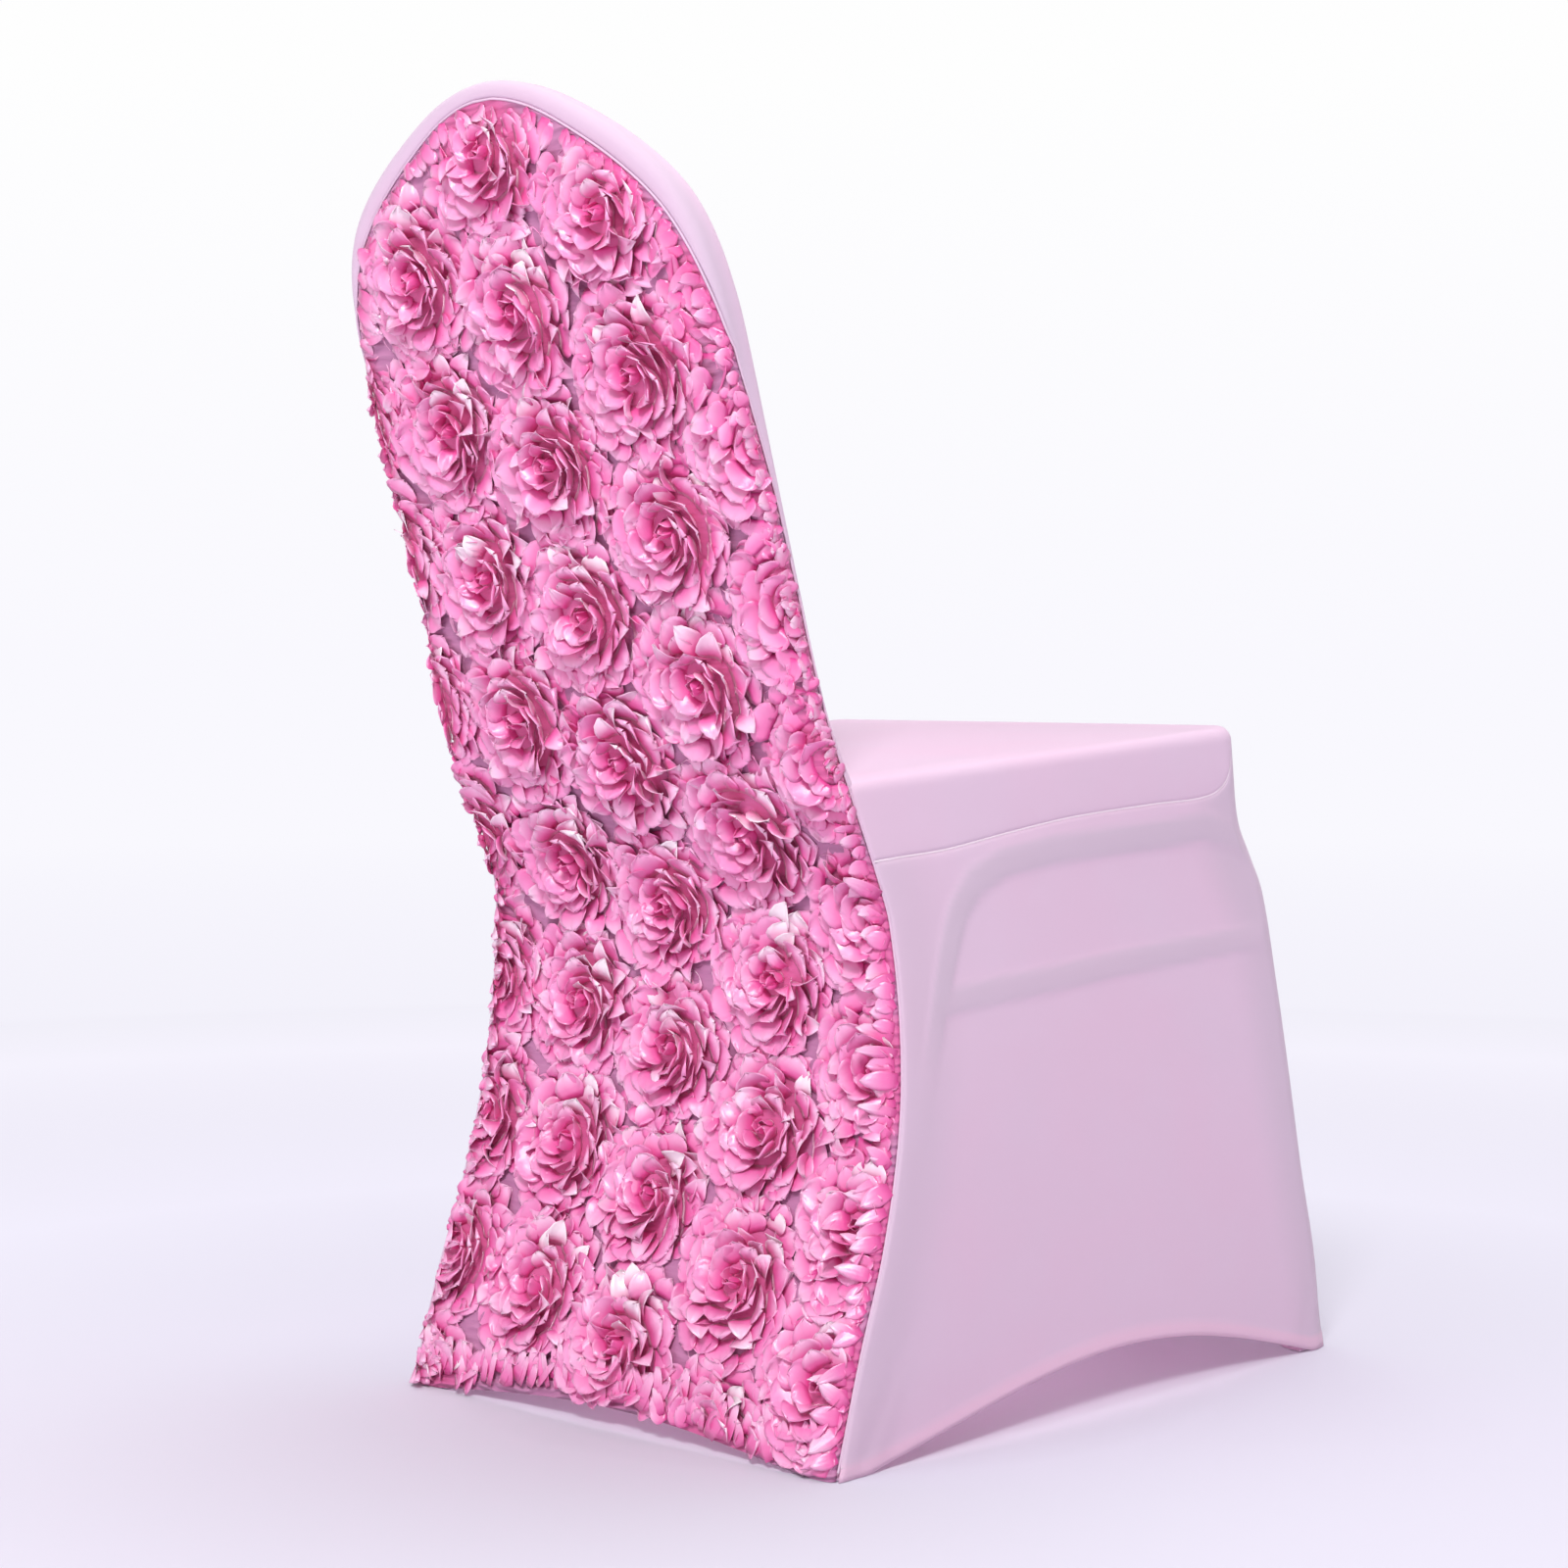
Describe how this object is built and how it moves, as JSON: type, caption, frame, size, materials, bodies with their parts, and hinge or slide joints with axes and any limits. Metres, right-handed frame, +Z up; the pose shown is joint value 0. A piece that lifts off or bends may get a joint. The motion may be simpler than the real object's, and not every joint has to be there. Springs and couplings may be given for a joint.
{
  "type": "chair cover",
  "caption": "Fitted stretch cover for a banquet chair: smooth seat and skirt with arched hems and foot pockets, and a back covered with spiral satin rosettes.",
  "frame": {"origin": "on the floor, under the middle of the cover's bounding box", "axes": "+Z up; the seat's front faces -Y, the rosettes on the back face +Y, X runs across"},
  "size_m": [0.452, 0.7322, 0.944],
  "materials": {
    "spandex": "pale cool pink stretch knit, matte with a soft sheen",
    "rosette_cloth": "mauve-pink fine gathered cloth",
    "rosette_satin": "bright pink satin petals, glossy where they turn over"
  },
  "bodies": {
    "root": {"rosette_cloth_back": "rosette_cloth", "seat_and_inner_back": "spandex", "skirt": "spandex", "foot_patch_rear_left": "spandex", "foot_patch_rear_right": "spandex", "foot_patch_front_left": "spandex", "foot_patch_front_right": "spandex", "rosette_01": "rosette_satin", "rosette_02": "rosette_satin", "rosette_03": "rosette_satin", "rosette_04": "rosette_satin", "rosette_05": "rosette_satin", "rosette_06": "rosette_satin", "rosette_07": "rosette_satin", "rosette_08": "rosette_satin", "rosette_09": "rosette_satin", "rosette_10": "rosette_satin", "rosette_11": "rosette_satin", "rosette_12": "rosette_satin", "rosette_13": "rosette_satin", "rosette_14": "rosette_satin", "rosette_15": "rosette_satin", "rosette_16": "rosette_satin", "rosette_17": "rosette_satin", "rosette_18": "rosette_satin", "rosette_19": "rosette_satin", "rosette_20": "rosette_satin", "rosette_21": "rosette_satin", "rosette_22": "rosette_satin", "rosette_23": "rosette_satin", "rosette_24": "rosette_satin", "rosette_25": "rosette_satin", "rosette_26": "rosette_satin", "rosette_27": "rosette_satin", "rosette_28": "rosette_satin", "rosette_29": "rosette_satin", "rosette_30": "rosette_satin", "rosette_31": "rosette_satin", "rosette_32": "rosette_satin", "rosette_33": "rosette_satin", "rosette_34": "rosette_satin", "rosette_35": "rosette_satin", "rosette_36": "rosette_satin", "rosette_37": "rosette_satin", "rosette_38": "rosette_satin", "rosette_39": "rosette_satin", "rosette_40": "rosette_satin", "rosette_41": "rosette_satin", "rosette_42": "rosette_satin"}
  },
  "joints": []
}
